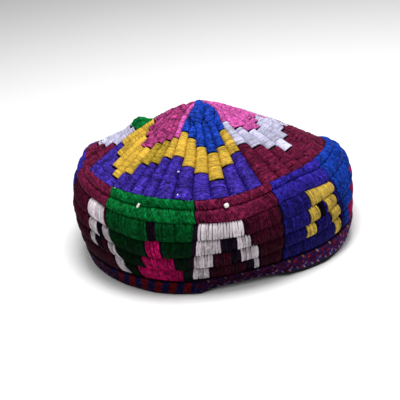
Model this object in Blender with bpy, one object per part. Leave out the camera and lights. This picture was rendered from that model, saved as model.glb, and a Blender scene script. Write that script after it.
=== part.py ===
"""Quilted tubeteika skullcap standing on its rim.

Four crown gores of radial cord channels meet in a low point. They sit on a band of six
stacked cord rows, which ends in a woven braid and a folded edge binding.
"""

from collections import namedtuple
from math import cos, hypot, pi, radians, sin, sqrt

import bmesh
import bpy
from mathutils import Vector

MM = 0.001

# The plan is read by angle: 0 is +X, 90 is the back (+Y) and 270 is the front.
# Edge means the line where the crown meets the band. Lengths are in millimetres. Swell is how
# far the wall stands out between rim and edge, and a higher skew carries it up to the shoulder.
# Roll is how far the shoulder rises over the edge, so that the crown sits in a shallow valley.
Station = namedtuple("Station", "angle edge_radius edge_height rim_radius swell skew roll")
STATIONS = (
    Station(0, 77.0, 55.5, 89.5, 12.0, 1.50, 4.0),
    Station(30, 80.0, 48.5, 89.5, 15.0, 1.60, 2.0),
    Station(60, 79.5, 47.5, 88.0, 14.0, 1.35, 1.0),
    Station(90, 79.0, 48.5, 88.0, 13.5, 1.30, 1.0),
    Station(120, 80.5, 52.5, 87.5, 13.0, 1.30, 1.5),
    Station(150, 83.0, 55.5, 87.0, 12.5, 1.35, 4.0),
    Station(180, 81.0, 66.5, 87.5, 10.5, 1.35, 1.5),
    Station(210, 82.0, 63.5, 90.5, 9.5, 1.10, 1.0),
    Station(240, 83.0, 61.5, 90.0, 9.0, 1.20, 1.0),
    Station(270, 79.5, 58.0, 84.5, 9.0, 1.20, 1.0),
    Station(300, 74.5, 60.0, 84.5, 10.0, 1.15, 1.0),
    Station(330, 73.0, 58.5, 92.5, 9.5, 1.05, 2.0),
)
STATION_STEP = 360 / len(STATIONS)

# Each gore runs between two ridges and has two halves, parted at its middle line.
Gore = namedtuple("Gore", "name start middle end first_channels second_channels")
GORES = (
    Gore("crown_gore_front", 192, 246, 293, 8, 6),
    Gore("crown_gore_right", 293, 345, 390, 6, 6),
    Gore("crown_gore_back", 30, 71, 112, 6, 6),
    Gore("crown_gore_left", 112, 152, 192, 6, 6),
)

# Where the plan's middle lies from the origin, so that the cap's box is centred on it
PLAN_X = -0.06
PLAN_Y = -2.69

# Crown
APEX_X = -4.0
APEX_Y = 0.0
APEX_HEIGHT = 93.2
CROWN_CURVE = 1.13
RIDGE_LIFT = 1.2
RIDGE_HALF_WIDTH = 14.0
CROWN_RUNS = (1.0, 0.985, 0.955, 0.86, 0.72, 0.56, 0.40, 0.24, 0.10)
CROWN_LINING_RUNS = (0.10, 0.40, 0.72)
TIP_REACH = 0.8
CHANNEL_STEPS = 3

# Band
# Row boundaries as shares of the wall from the braid up to the crown; the top two rows are slim
ROW_SHARES = (0.0, 0.185, 0.375, 0.57, 0.785, 0.895, 1.0)
TOP_LEVEL = 0.995
# The roll is at its highest at this level, and gone at the rim and the edge
ROLL_CREST = 6 / 7
ROW_STEPS = (0.0, 0.18, 0.5, 0.82)
BAND_LINING_LEVELS = (0.95, 0.80, 0.60, 0.40, 0.25)
BAND_COLUMNS = 72

# Padding and walls
CORD_HEIGHT = 1.8
CORD_HEIGHT_AT_APEX = 0.5
EDGE_DEPTH = 1.3
LINING_DEPTH = 3.8
GAP = 0.3

# The strip where crown and band meet leans inwards: down its face, then across it
JOIN_RADIAL = -0.6
JOIN_UPWARD = -0.8

# Braid and binding at the rim, as heights above the floor and depths behind the outer surface
BINDING_THICKNESS = 1.0
BINDING_SHOWS = 1.9
BINDING_INNER_LEG = 7.0
BINDING_ROUNDING = 0.45
BINDING_FACE_DEPTH = 0.4
BRAID_TOP = 6.9
BRAID_FACE_DEPTH = -0.3
BRAID_BACK_DEPTH = 1.4
BRAID_ROUNDING = 0.7
HEM_DEPTH = BRAID_BACK_DEPTH + GAP
HEM_TOP = BRAID_TOP + GAP

MERGE_DISTANCE = 0.000001

COLOURS = {
    "crown_gore_front": (0.10, 0.04, 0.26, 1.0),
    "crown_gore_right": (0.20, 0.015, 0.045, 1.0),
    "crown_gore_back": (0.10, 0.04, 0.26, 1.0),
    "crown_gore_left": (0.20, 0.015, 0.045, 1.0),
    "band": (0.17, 0.012, 0.04, 1.0),
    "braid_trim": (0.35, 0.05, 0.06, 1.0),
    "edge_binding": (0.012, 0.011, 0.015, 1.0),
}
FLOSS_ROUGHNESS = 0.45


def clear_objects():
    """Remove whatever the open file holds."""
    for item in list(bpy.data.objects):
        bpy.data.objects.remove(item, do_unlink=True)


def station_at(angle):
    """The station values at any plan angle, on a closed cubic curve through the table."""
    place = (angle % 360) / STATION_STEP
    index = int(place)
    part = place - index
    count = len(STATIONS)
    before, here, after, beyond = (STATIONS[(index + step) % count] for step in (-1, 0, 1, 2))
    values = [angle]
    for a, b, c, d in zip(before[1:], here[1:], after[1:], beyond[1:]):
        bend = 2 * a - 5 * b + 4 * c - d
        twist = 3 * (b - c) + d - a
        values.append(b + 0.5 * part * (c - a + part * (bend + part * twist)))
    return Station(*values)


def spot(angle, radius, height):
    """A point of the cap by plan angle, radius and height in millimetres."""
    turn = radians(angle)
    return Vector((PLAN_X + radius * cos(turn), PLAN_Y + radius * sin(turn), height)) * MM


def cord_round(part):
    """Height of a cord's round back, from 0 at its grooves to 1 at its crest."""
    return sqrt(max(0.0, 1.0 - (2.0 * part - 1.0) ** 2))


def roll_share(level):
    """How much of the shoulder's roll a level has, from 0 at the rim to 1 at the crest."""
    power = ROLL_CREST / (1.0 - ROLL_CREST)
    return (level / ROLL_CREST) ** power * (1.0 - level) / (1.0 - ROLL_CREST)


def wall_line(angle, level):
    """Radius and height of the band's outer surface, from 0 at the rim to 1 at the edge."""
    station = station_at(angle)
    swell = station.swell * sin(pi * level ** station.skew)
    radius = station.rim_radius + (station.edge_radius - station.rim_radius) * level + swell
    return radius, station.edge_height * level + station.roll * roll_share(level)


def band_point(angle, level, depth):
    """A point of the band at a depth square to its outer surface."""
    radius, height = wall_line(angle, level)
    next_radius, next_height = wall_line(angle, level + 0.01)
    out, up = next_radius - radius, next_height - height
    length = hypot(out, up)
    return spot(angle, radius - depth * up / length, height + depth * out / length)


def hem_point(angle, height, depth):
    """A point near the rim by its height, at a level depth behind the outer surface."""
    radius, _ = wall_line(angle, height / station_at(angle).edge_height)
    return spot(angle, radius - depth, height)


def join_point(angle, depth, side):
    """A point of the leaning strip where crown and band meet; side is +1 for the crown."""
    station = station_at(angle)
    half_gap = 0.5 * GAP * side
    radius = station.edge_radius + JOIN_RADIAL * depth + JOIN_UPWARD * half_gap
    height = station.edge_height + JOIN_UPWARD * depth - JOIN_RADIAL * half_gap
    return spot(angle, radius, height)


def ridge_lift(angle, run):
    """How far the crown rises at the ridges between gores, fading out at edge and apex."""
    nearest = min(abs((angle - gore.start + 180) % 360 - 180) for gore in GORES)
    across = max(0.0, 1.0 - nearest / RIDGE_HALF_WIDTH) ** 2
    return RIDGE_LIFT * across * sin(pi * run)


def crown_point(angle, run, depth):
    """A point of the crown, from run 0 at the apex to 1 at the edge, at a depth square to it."""
    station = station_at(angle)
    turn = radians(angle)
    out_x = station.edge_radius * cos(turn) - APEX_X
    out_y = station.edge_radius * sin(turn) - APEX_Y
    reach = hypot(out_x, out_y)
    rise = APEX_HEIGHT - station.edge_height
    fall = rise * CROWN_CURVE * run ** (CROWN_CURVE - 1.0)
    length = hypot(reach, fall)
    inward = depth * fall / length / reach
    height = APEX_HEIGHT - rise * run ** CROWN_CURVE + ridge_lift(angle, run)
    return Vector((
        PLAN_X + APEX_X + out_x * (run - inward),
        PLAN_Y + APEX_Y + out_y * (run - inward),
        height - depth * reach / length,
    )) * MM


def lay_skin(mesh, columns, rows, place):
    """Add a grid of faces whose corners are put where place(column, row) says."""
    grid = bmesh.ops.create_grid(mesh, x_segments=columns, y_segments=rows, size=0.5)
    for corner in grid["verts"]:
        column = round((corner.co.x + 0.5) * columns)
        row = round((corner.co.y + 0.5) * rows)
        corner.co = place(column, row)
    bmesh.ops.remove_doubles(mesh, verts=mesh.verts, dist=MERGE_DISTANCE)


def close_and_name(mesh, name):
    """Fill open ends, face everything outwards and link the finished piece."""
    open_edges = [edge for edge in mesh.edges if edge.is_boundary]
    if open_edges:
        bmesh.ops.holes_fill(mesh, edges=open_edges, sides=0)
    bmesh.ops.recalc_face_normals(mesh, faces=mesh.faces)
    data = bpy.data.meshes.new(name)
    mesh.to_mesh(data)
    mesh.free()
    data.shade_smooth()
    data.set_sharp_from_angle(angle=radians(50))
    data.materials.append(floss_material(name))
    piece = bpy.data.objects.new(name, data)
    bpy.context.scene.collection.objects.link(piece)
    return piece


def floss_material(name):
    """A plain cloth finish in the piece's main colour."""
    material = bpy.data.materials.new(name + "_cloth")
    material.use_nodes = True
    shader = material.node_tree.nodes["Principled BSDF"]
    shader.inputs["Base Color"].default_value = COLOURS[name]
    shader.inputs["Roughness"].default_value = FLOSS_ROUGHNESS
    shader.inputs["Metallic"].default_value = 0.0
    return material


def gore_columns(gore):
    """Plan angle and cord roundness of each column across a gore, a few to each channel."""
    columns = []
    halves = (
        (gore.start, gore.middle, gore.first_channels),
        (gore.middle, gore.end, gore.second_channels),
    )
    for low, high, channels in halves:
        steps = channels * CHANNEL_STEPS
        for step in range(steps):
            across = (step % CHANNEL_STEPS) / CHANNEL_STEPS
            columns.append((low + (high - low) * step / steps, cord_round(across)))
    columns.append((gore.end, 0.0))
    return columns


def sidestep(angle, column, last):
    """The half gap that parts a gore's first and last columns from its neighbours."""
    turn = radians(angle)
    along = Vector((-sin(turn), cos(turn), 0.0)) * (0.5 * GAP * MM)
    if column == 0:
        return along
    if column == last:
        return -along
    return along * 0.0


def gore_tip(gore, depth):
    """Where a gore's columns run together, just short of the apex."""
    turn = radians((gore.start + gore.end) / 2)
    height = APEX_HEIGHT - depth
    x = PLAN_X + APEX_X + TIP_REACH * cos(turn)
    y = PLAN_Y + APEX_Y + TIP_REACH * sin(turn)
    return Vector((x, y, height)) * MM


def crown_gore(gore):
    """One gore: cord channels outside, a smooth lining face inside, walls at both ridges."""
    columns = gore_columns(gore)
    last = len(columns) - 1
    outer_rows = len(CROWN_RUNS)
    lining_rows = len(CROWN_LINING_RUNS)
    rows = outer_rows + 2 + lining_rows + 1

    def place(column, row):
        angle, roundness = columns[column]
        row %= rows
        aside = sidestep(angle, column, last)
        if row == 0:
            return join_point(angle, EDGE_DEPTH, 1) + aside
        if row < outer_rows:
            run = CROWN_RUNS[row]
            cord = CORD_HEIGHT_AT_APEX + (CORD_HEIGHT - CORD_HEIGHT_AT_APEX) * run
            return crown_point(angle, run, cord * (1.0 - roundness)) + aside
        if row == outer_rows:
            return gore_tip(gore, CORD_HEIGHT_AT_APEX)
        if row == outer_rows + 1:
            return gore_tip(gore, LINING_DEPTH)
        if row < rows - 1:
            run = CROWN_LINING_RUNS[row - outer_rows - 2]
            return crown_point(angle, run, LINING_DEPTH) + aside
        return join_point(angle, LINING_DEPTH, 1) + aside

    mesh = bmesh.new()
    lay_skin(mesh, last, rows, place)
    return close_and_name(mesh, gore.name)


def row_level(angle, share):
    """The wall level of a share of the rows, which all start at the same height over the braid."""
    hem_level = HEM_TOP / station_at(angle).edge_height
    return hem_level + (TOP_LEVEL - hem_level) * share


def band_section():
    """The band's wall as a closed run of placing functions, from its hem up and back down."""
    section = [
        lambda angle: hem_point(angle, BINDING_THICKNESS + GAP, HEM_DEPTH),
        lambda angle: hem_point(angle, HEM_TOP, HEM_DEPTH),
    ]
    for low, high in zip(ROW_SHARES, ROW_SHARES[1:]):
        for part in ROW_STEPS:
            share = low + (high - low) * part
            depth = CORD_HEIGHT * (1.0 - cord_round(part))
            section.append(lambda angle, share=share, depth=depth: band_point(
                angle, row_level(angle, share), depth))
    section.append(lambda angle: join_point(angle, EDGE_DEPTH, -1))
    section.append(lambda angle: join_point(angle, LINING_DEPTH, -1))
    for level in BAND_LINING_LEVELS:
        section.append(lambda angle, level=level: band_point(angle, level, LINING_DEPTH))
    section.append(lambda angle: hem_point(angle, BINDING_INNER_LEG + GAP, LINING_DEPTH))
    section.append(lambda angle: hem_point(angle, BINDING_THICKNESS + GAP, LINING_DEPTH))
    return section


def turned_piece(name, section):
    """Carry a closed section of placing functions once round the cap."""

    def place(column, row):
        angle = 360 * (column % BAND_COLUMNS) / BAND_COLUMNS
        return section[row % len(section)](angle)

    mesh = bmesh.new()
    lay_skin(mesh, BAND_COLUMNS, len(section), place)
    return close_and_name(mesh, name)


def hem_section(corners):
    """A closed section near the rim from corners given as depth and height."""
    return [lambda angle, depth=depth, height=height: hem_point(angle, height, depth)
            for depth, height in corners]


def braid_corners():
    """The braid's section: a flat back and a gently domed face."""
    low = BINDING_SHOWS + GAP
    return (
        (BRAID_BACK_DEPTH, low),
        (BRAID_FACE_DEPTH + BRAID_ROUNDING, low),
        (BRAID_FACE_DEPTH, low + BRAID_ROUNDING),
        (BRAID_FACE_DEPTH, BRAID_TOP - BRAID_ROUNDING),
        (BRAID_FACE_DEPTH + BRAID_ROUNDING, BRAID_TOP),
        (BRAID_BACK_DEPTH, BRAID_TOP),
    )


def binding_corners():
    """The binding's section: a strip folded under the hem, taller inside than outside."""
    outer_back = BINDING_FACE_DEPTH + BINDING_THICKNESS
    inner_front = LINING_DEPTH + GAP
    inner_back = inner_front + BINDING_THICKNESS
    return (
        (BINDING_FACE_DEPTH + BINDING_ROUNDING, 0.0),
        (BINDING_FACE_DEPTH, BINDING_ROUNDING),
        (BINDING_FACE_DEPTH, BINDING_SHOWS),
        (outer_back, BINDING_SHOWS),
        (outer_back, BINDING_THICKNESS),
        (inner_front, BINDING_THICKNESS),
        (inner_front, BINDING_INNER_LEG),
        (inner_back, BINDING_INNER_LEG),
        (inner_back, BINDING_ROUNDING),
        (inner_back - BINDING_ROUNDING, 0.0),
    )


def main():
    """Build the whole cap."""
    clear_objects()
    for gore in GORES:
        crown_gore(gore)
    turned_piece("band", band_section())
    turned_piece("braid_trim", hem_section(braid_corners()))
    turned_piece("edge_binding", hem_section(binding_corners()))


main()
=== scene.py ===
"""Dress the quilted tubeteika: ground cloth, satin floss over cords, braid, binding and beads."""

from collections import namedtuple
from math import pi, radians

import bmesh
import bpy
import numpy as np
from bpy.props import FloatProperty, FloatVectorProperty, IntProperty, PointerProperty
from mathutils import Matrix, Vector


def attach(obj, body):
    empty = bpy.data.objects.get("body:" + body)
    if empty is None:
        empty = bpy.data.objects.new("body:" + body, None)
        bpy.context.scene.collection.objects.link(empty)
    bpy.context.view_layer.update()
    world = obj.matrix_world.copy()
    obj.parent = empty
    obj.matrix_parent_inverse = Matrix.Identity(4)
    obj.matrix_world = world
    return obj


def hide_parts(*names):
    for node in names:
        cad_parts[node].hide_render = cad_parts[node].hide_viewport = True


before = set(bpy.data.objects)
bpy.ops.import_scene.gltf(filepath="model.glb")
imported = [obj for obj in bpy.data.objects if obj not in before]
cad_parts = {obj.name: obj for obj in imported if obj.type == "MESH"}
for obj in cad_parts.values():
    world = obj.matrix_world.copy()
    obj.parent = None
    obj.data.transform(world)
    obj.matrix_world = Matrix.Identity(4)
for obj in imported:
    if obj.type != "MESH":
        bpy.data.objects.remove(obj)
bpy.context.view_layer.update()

bl_info = {
    "name": "Tubeteika dressing",
    "version": (1, 0, 0),
    "blender": (4, 5, 0),
    "location": "View3D > Sidebar > Tubeteika",
    "description": "Dresses the quilted skullcap in floss, braid, binding and beads",
    "category": "Object",
}

MM = 0.001

# ---- Shape of the cap, as the solids have it ----

# One row each 30 degrees, from +X counter-clockwise seen from above; 270 is the front. Edge means
# the line where crown and band meet. Millimetres: edge radius, edge height, rim radius, swell,
# the skew that carries the swell up, and the roll of the shoulder above the edge.
STATIONS = np.array((
    (77.0, 55.5, 89.5, 12.0, 1.50, 4.0),
    (80.0, 48.5, 89.5, 15.0, 1.60, 2.0),
    (79.5, 47.5, 88.0, 14.0, 1.35, 1.0),
    (79.0, 48.5, 88.0, 13.5, 1.30, 1.0),
    (80.5, 52.5, 87.5, 13.0, 1.30, 1.5),
    (83.0, 55.5, 87.0, 12.5, 1.35, 4.0),
    (81.0, 66.5, 87.5, 10.5, 1.35, 1.5),
    (82.0, 63.5, 90.5, 9.5, 1.10, 1.0),
    (83.0, 61.5, 90.0, 9.0, 1.20, 1.0),
    (79.5, 58.0, 84.5, 9.0, 1.20, 1.0),
    (74.5, 60.0, 84.5, 10.0, 1.15, 1.0),
    (73.0, 58.5, 92.5, 9.5, 1.05, 2.0),
))
STATION_STEP = 360 / len(STATIONS)
PLAN_X, PLAN_Y = -0.06, -2.69
APEX_X, APEX_Y, APEX_HEIGHT = -4.0, 0.0, 93.2
CROWN_CURVE = 1.13
ROUND_TIP = 0.035
RIDGE_LIFT = 1.2
RIDGE_HALF_WIDTH = 14.0
CORD_HEIGHT = 1.8
CORD_HEIGHT_AT_APEX = 0.5
LINING_DEPTH = 3.8
JOIN_RADIAL, JOIN_UPWARD = -0.6, -0.8
# Where the six rows part at these plan angles, from the hem up, as shares of the wall
ROW_ANGLES = (190, 214, 227, 240, 254, 264, 282, 302, 314, 328, 350, 375, 550)
ROW_EDGES = (
    (0.05, 0.09, 0.06, 0.045, 0.015, 0.03, 0.07, 0.085, 0.095, 0.145, 0.13, 0.05, 0.05),
    (0.235, 0.315, 0.27, 0.193, 0.178, 0.195, 0.223, 0.261, 0.278, 0.35, 0.33, 0.235, 0.235),
    (0.415, 0.465, 0.42, 0.350, 0.350, 0.380, 0.405, 0.428, 0.438, 0.489, 0.48, 0.415, 0.415),
    (0.59, 0.61, 0.585, 0.545, 0.560, 0.568, 0.557, 0.592, 0.604, 0.608, 0.60, 0.59, 0.59),
    (0.76, 0.785, 0.765, 0.752, 0.752, 0.757, 0.731, 0.767, 0.769, 0.721, 0.73, 0.76, 0.76),
    (0.895, 0.89, 0.888, 0.889, 0.902, 0.893, 0.892, 0.923, 0.925, 0.885, 0.89, 0.895, 0.895),
    (1.0,) * 13,
)
ROWS = len(ROW_EDGES) - 1
TOP_LEVEL = 0.995
ROLL_CREST = 6 / 7
HEM_TOP = 7.2
REACH = 87.0

# ---- Chart of the embroidery, counted one by one ----

# Angles of the crown's seams at these runs from the apex outwards
SEAM_RUNS = (0.1, 0.2, 0.3, 0.4, 0.6, 0.8, 1.0)
CROWN_SEAMS = {
    "left": (180, 184, 187, 190.5, 192.5, 197.5, 200),
    "front": (236, 239, 240.5, 243.5, 245.5, 244.5, 244.6),
    "right": (333, 315, 301, 296, 294.2, 293, 292.8),
    "right_middle": (380, 370, 365, 362, 358, 354, 350),
    "back_right": (402, 396, 392, 390, 390, 390, 390),
    "back": (431, 431, 431, 431, 431, 431, 431),
    "back_left": (472, 472, 472, 472, 472, 472, 472),
    "left_middle": (512, 512, 512, 512, 512, 512, 512),
    "left_again": (540, 544, 547, 550.5, 552.5, 557.5, 560),
}

# A wedge is half a gore. Starts are the runs where its channels open out of their neighbours; a
# negative one reaches the apex. The letters name the dye of each channel in turn: the inner part,
# the stripe and the outer part, with the runs where the inner part and the stripe end.
Wedge = namedtuple(
    "Wedge", "gore low high ridge starts inner inner_ends stripe stripe_ends outer")
WEDGES = (
    Wedge("front", "left", "front", "low",
          (0.16, 0.22, 0.05, 0.24, -0.15, 0.20, 0.04, -0.15),
          "rrrrrrrp", (0.38, 0.45, 0.50, 0.59, 0.58, 0.51, 0.47, 0.43),
          "yyyyyooy", (0.68, 0.76, 0.85, 0.915, 0.845, 0.73, 0.70, 0.63), "uuuuuuuu"),
    Wedge("front", "front", "right", "high",
          (0.18, 0.22, -0.15, 0.20, 0.02, 0.16),
          "bbbbbb", (0.36, 0.42, 0.51, 0.58, 0.54, 0.40),
          "yyyyyy", (0.61, 0.70, 0.76, 0.83, 0.73, 0.65), "uuuuuu"),
    Wedge("right", "right", "right_middle", "low",
          (0.12, -0.15, 0.22, 0.06, 0.20, 0.10),
          "pppppp", (0.33, 0.43, 0.50, 0.52, 0.47, 0.43),
          "wwwwww", (0.60, 0.66, 0.73, 0.81, 0.72, 0.66), "mmmmmm"),
    Wedge("right", "right_middle", "back_right", "high",
          (0.20, 0.04, 0.22, -0.15, 0.20, 0.06),
          "pppppp", (0.43, 0.51, 0.565, 0.54, 0.47, 0.40),
          "wwwwww", (0.64, 0.68, 0.71, 0.68, 0.64, 0.58), "mmmmmm"),
    Wedge("back", "back_right", "back", "low",
          (0.06, 0.22, -0.15, 0.20, 0.05, 0.18),
          "rrrrrr", (0.40, 0.47, 0.55, 0.57, 0.48, 0.42),
          "yyyyyy", (0.61, 0.71, 0.82, 0.85, 0.72, 0.63), "uuuuuu"),
    Wedge("back", "back", "back_left", "high",
          (0.20, 0.05, 0.22, -0.15, 0.20, 0.08),
          "bbbbbb", (0.38, 0.45, 0.56, 0.54, 0.47, 0.39),
          "yyyyyy", (0.62, 0.70, 0.84, 0.78, 0.70, 0.61), "uuuuuu"),
    Wedge("left", "back_left", "left_middle", "low",
          (0.08, 0.22, -0.15, 0.18, 0.05, 0.20),
          "pppppp", (0.37, 0.46, 0.54, 0.55, 0.48, 0.41),
          "wwwwww", (0.60, 0.70, 0.79, 0.83, 0.73, 0.64), "mmmmmm"),
    Wedge("left", "left_middle", "left_again", "high",
          (0.20, 0.04, 0.22, -0.15, 0.18, 0.06),
          "gggggg", (0.40, 0.47, 0.53, 0.57, 0.58, 0.55),
          "wwwwww", (0.70, 0.78, 0.84, 0.88, 0.82, 0.74), "mmmmmm"),
)
GORES = ("front", "right", "back", "left")

# Band panels between seams that wander, each seam given as its angle at the top, two thirds of
# the way up and at the hem
BAND_SEAMS = (
    (191.5, 189.0, 184.0), (223.5, 222.6, 234.5), (261.8, 261.9, 257.6), (295.5, 296.6, 294.7),
    (332.0, 331.0, 329.0), (376.0, 375.3, 374.0), (398.0, 398.0, 398.0), (420.0, 418.7, 416.0),
    (446.0, 446.0, 446.0), (466.0, 466.0, 466.0), (490.0, 489.0, 488.0), (536.0, 534.0, 530.0),
    (551.5, 549.0, 544.0),
)
SEAM_ROWS = (0.0, 4.0, 6.0)
# Lean is how far a stitch goes sideways from its foot to its head: in the two upper rows, then
# in the lower ones
Panel = namedtuple("Panel", "side ground motif lean low_lean")
PANELS = (
    Panel("front", "m", "gate_right", -4.6, -0.8), Panel("front", "g", "steps", -5.0, -0.3),
    Panel("front", "m", "gate_left", -5.2, -1.2),
    Panel("right", "i", "gold_gate_right", -5.4, -0.8), Panel("right", "a", "wide_steps", -4.4, 0.3),
    Panel("right", "i", "gold_gate_left", -3.6, 0.4),
    Panel("back", "m", "gate_right", -3.6, -0.6), Panel("back", "g", "steps", -3.4, 0.3),
    Panel("back", "m", "gate_left", -3.6, -1.6),
    Panel("left", "i", "gold_gate_right", -3.6, -0.6), Panel("left", "a", "wide_steps", -3.4, 0.4),
    Panel("left", "i", "plain", -3.4, 0.3),
)
# Painted light and shade on the band's yarns: each dye is scaled row by row from the top, lighter in
# the upper rows that face the light and much darker towards the rim, where the band lies in shade
ROW_LIGHT_AND_SHADE = {
    "m": (1.24, 1.0, 0.36, 0.28, 0.20, 0.155),
    "g": (1.0, 0.95, 0.33, 0.10, 0.045, 0.035),
    "i": (1.0, 0.82, 0.42, 0.34, 0.26, 0.22),
    "a": (1.0, 0.90, 0.75, 0.65, 0.55, 0.50),
    "c": (1.0, 1.0, 1.0, 0.64, 0.56, 0.44),
    "w": (1.0, 1.0, 1.0, 0.78, 0.72, 0.62),
    "s": (1.0, 1.0, 0.76, 0.62, 0.62, 0.60),
    "k": (0.5,) * 6,
}
# Some yarns are thicker than the rest
YARN_SHARES = {"u": 1.25, "w": 1.3, "s": 1.2}
# The light yarns lie smooth and full
LIGHT_DYES = "ywos"
CALM, FULL_YARN = 0.45, 1.3
DARK_CALM, DARK_FULL = 0.8, 1.15
# On the band every yarn lies fairly calm; the upper rows are coarser, and the dark ones below
# dip little between their rows
BAND_CALM, UPPER_YARN, DARK_DIP = 0.7, 1.25, 0.5

# Spans of a motif as shares of its panel, by row; row 1 is the top one
Span = namedtuple("Span", "row low high dye")
MOTIFS = {
    "gate_left": (
        Span(3, 0.018, 0.54, "w"),
        Span(4, 0.018, 0.30, "w"), Span(4, 0.32, 0.43, "k"), Span(4, 0.445, 0.625, "w"),
        Span(5, 0.00, 0.23, "w"), Span(5, 0.42, 0.485, "k"), Span(5, 0.50, 0.715, "w"),
        Span(6, 0.00, 0.20, "w"), Span(6, 0.59, 0.645, "k"), Span(6, 0.66, 0.74, "w"),
    ),
    "gate_right": (
        Span(3, 0.625, 0.975, "w"),
        Span(4, 0.655, 0.81, "w"), Span(4, 0.82, 0.875, "k"), Span(4, 0.885, 1.00, "w"),
        Span(5, 0.64, 0.73, "w"), Span(5, 0.745, 0.82, "k"), Span(5, 0.90, 1.00, "w"),
        Span(6, 0.90, 1.00, "w"),
    ),
    "steps": (
        Span(3, 0.53, 0.60, "k"),
        Span(4, 0.475, 0.655, "c"),
        Span(5, 0.37, 0.79, "c"),
        Span(6, 0.21, 0.90, "c"),
    ),
    "wide_steps": (
        Span(4, 0.50, 0.66, "c"),
        Span(5, 0.30, 0.80, "c"),
        Span(6, 0.12, 0.92, "c"),
    ),
    "gold_gate_right": (
        Span(3, 0.45, 0.975, "s"),
        Span(4, 0.385, 0.56, "s"), Span(4, 0.58, 0.65, "k"), Span(4, 0.69, 0.92, "s"),
        Span(5, 0.315, 0.475, "s"), Span(5, 0.73, 0.94, "s"),
        Span(6, 0.78, 0.92, "s"),
    ),
    "gold_gate_left": (
        Span(3, 0.03, 0.53, "s"),
        Span(4, 0.09, 0.30, "s"), Span(4, 0.33, 0.41, "k"), Span(4, 0.43, 0.59, "s"),
        Span(5, 0.03, 0.23, "s"), Span(5, 0.51, 0.68, "s"),
        Span(6, 0.02, 0.18, "s"),
    ),
    "plain": (),
}

DYE_NAMES = {
    "u": "purple", "m": "maroon", "y": "yellow", "o": "olive", "w": "white", "p": "pink",
    "r": "rose", "b": "royal", "a": "azure", "g": "green", "i": "indigo", "c": "cerise",
    "s": "straw", "k": "night", "n": "cream",
}
# The braid's yarns by letter, and its courses from the binding up
BRAID_YARNS = {"n": "navy", "m": "maroon", "v": "plum", "e": "red", "l": "lilac", "t": "tan"}
BRAID_CHART = ("nlvmlnv", "vnmvnlm", "nmvenvm", "mvnvmne", "vmntnmv")
BRAID_BARS, BAR_FLOATS = ("navy", "red"), 3


def linear(red, green, blue):
    """A screen colour of 0 to 255 as the linear values that shaders use."""
    def channel(value):
        share = value / 255
        return share / 12.92 if share <= 0.04045 else ((share + 0.055) / 1.055) ** 2.4
    return tuple(channel(value) for value in (red, green, blue))


def dye_property(label, red, green, blue):
    """A colour that the sidebar shows."""
    return FloatVectorProperty(
        name=label, description=f"{label} of the dyed yarn", subtype="COLOR", size=3,
        min=0.0, max=1.0, default=linear(red, green, blue))


def length_property(label, note, millimetres):
    """A length that the sidebar shows, kept in metres."""
    return FloatProperty(
        name=label, description=note, default=millimetres * MM, min=0.0,
        unit="LENGTH", subtype="DISTANCE", precision=5)


class CapSizes(bpy.types.PropertyGroup):
    """Sizes of the needlework."""

    pitch: length_property("Stitch pitch", "Distance from one laid thread to the next", 1.25)
    thread_width: length_property("Thread width", "Width of one laid thread", 1.45)
    thread_height: length_property("Thread height", "Height of one laid thread", 1.25)
    colour_gap: length_property("Colour gap", "Bare ground between two colours", 1.5)
    braid_pitch: length_property("Braid pitch", "Distance between the braid's floats", 1.5)
    quilt_pitch: length_property("Quilting pitch", "Length of a running stitch and its gap", 4.2)
    bead_width: length_property("Bead width", "Width of the large sewn bead", 2.8)
    seed: IntProperty(name="Seed", description="Start of the hand's small unevenness", default=7)


class CapColours(bpy.types.PropertyGroup):
    """Colours of the yarns and cloths."""

    purple: dye_property("Crown purple", 53, 37, 134)
    maroon: dye_property("Maroon", 94, 21, 50)
    yellow: dye_property("Yellow", 196, 160, 60)
    olive: dye_property("Faded yellow", 164, 137, 44)
    straw: dye_property("Band yellow", 208, 176, 78)
    white: dye_property("White", 184, 182, 206)
    cream: dye_property("Greyed white", 194, 184, 190)
    pink: dye_property("Pink", 187, 84, 153)
    rose: dye_property("Rose", 154, 57, 111)
    royal: dye_property("Royal blue", 26, 60, 160)
    azure: dye_property("Band blue", 20, 56, 154)
    green: dye_property("Green", 4, 100, 44)
    indigo: dye_property("Indigo", 48, 38, 150)
    cerise: dye_property("Cerise", 180, 14, 88)
    night: dye_property("Blackish purple", 20, 9, 27)
    red: dye_property("Braid red", 150, 28, 36)
    navy: dye_property("Braid navy", 34, 36, 100)
    plum: dye_property("Braid plum", 66, 26, 86)
    tan: dye_property("Braid tan", 150, 104, 84)
    lilac: dye_property("Braid lilac", 150, 112, 150)
    ground: dye_property("Ground cloth", 26, 14, 30)
    lining: dye_property("Lining", 36, 30, 66)
    binding: dye_property("Binding cloth", 16, 12, 15)


# ---- Surfaces ----


def station_columns(angles):
    """The six station values at each plan angle, on a closed cubic curve through the table."""
    place = np.mod(angles, 360.0) / STATION_STEP
    index = np.floor(place).astype(int)
    part = (place - index)[..., None]
    before, here, after, beyond = (
        STATIONS[(index + step) % len(STATIONS)] for step in (-1, 0, 1, 2))
    bend = 2 * before - 5 * here + 4 * after - beyond
    twist = 3 * (here - after) + beyond - before
    values = here + 0.5 * part * (after - before + part * (bend + part * twist))
    return np.moveaxis(values, -1, 0)


def spots(angles, radii, heights):
    """Points of the cap by plan angle, radius and height in millimetres."""
    turns = np.radians(angles)
    return np.stack((
        PLAN_X + radii * np.cos(turns), PLAN_Y + radii * np.sin(turns), heights + 0 * radii,
    ), axis=-1) * MM


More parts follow.
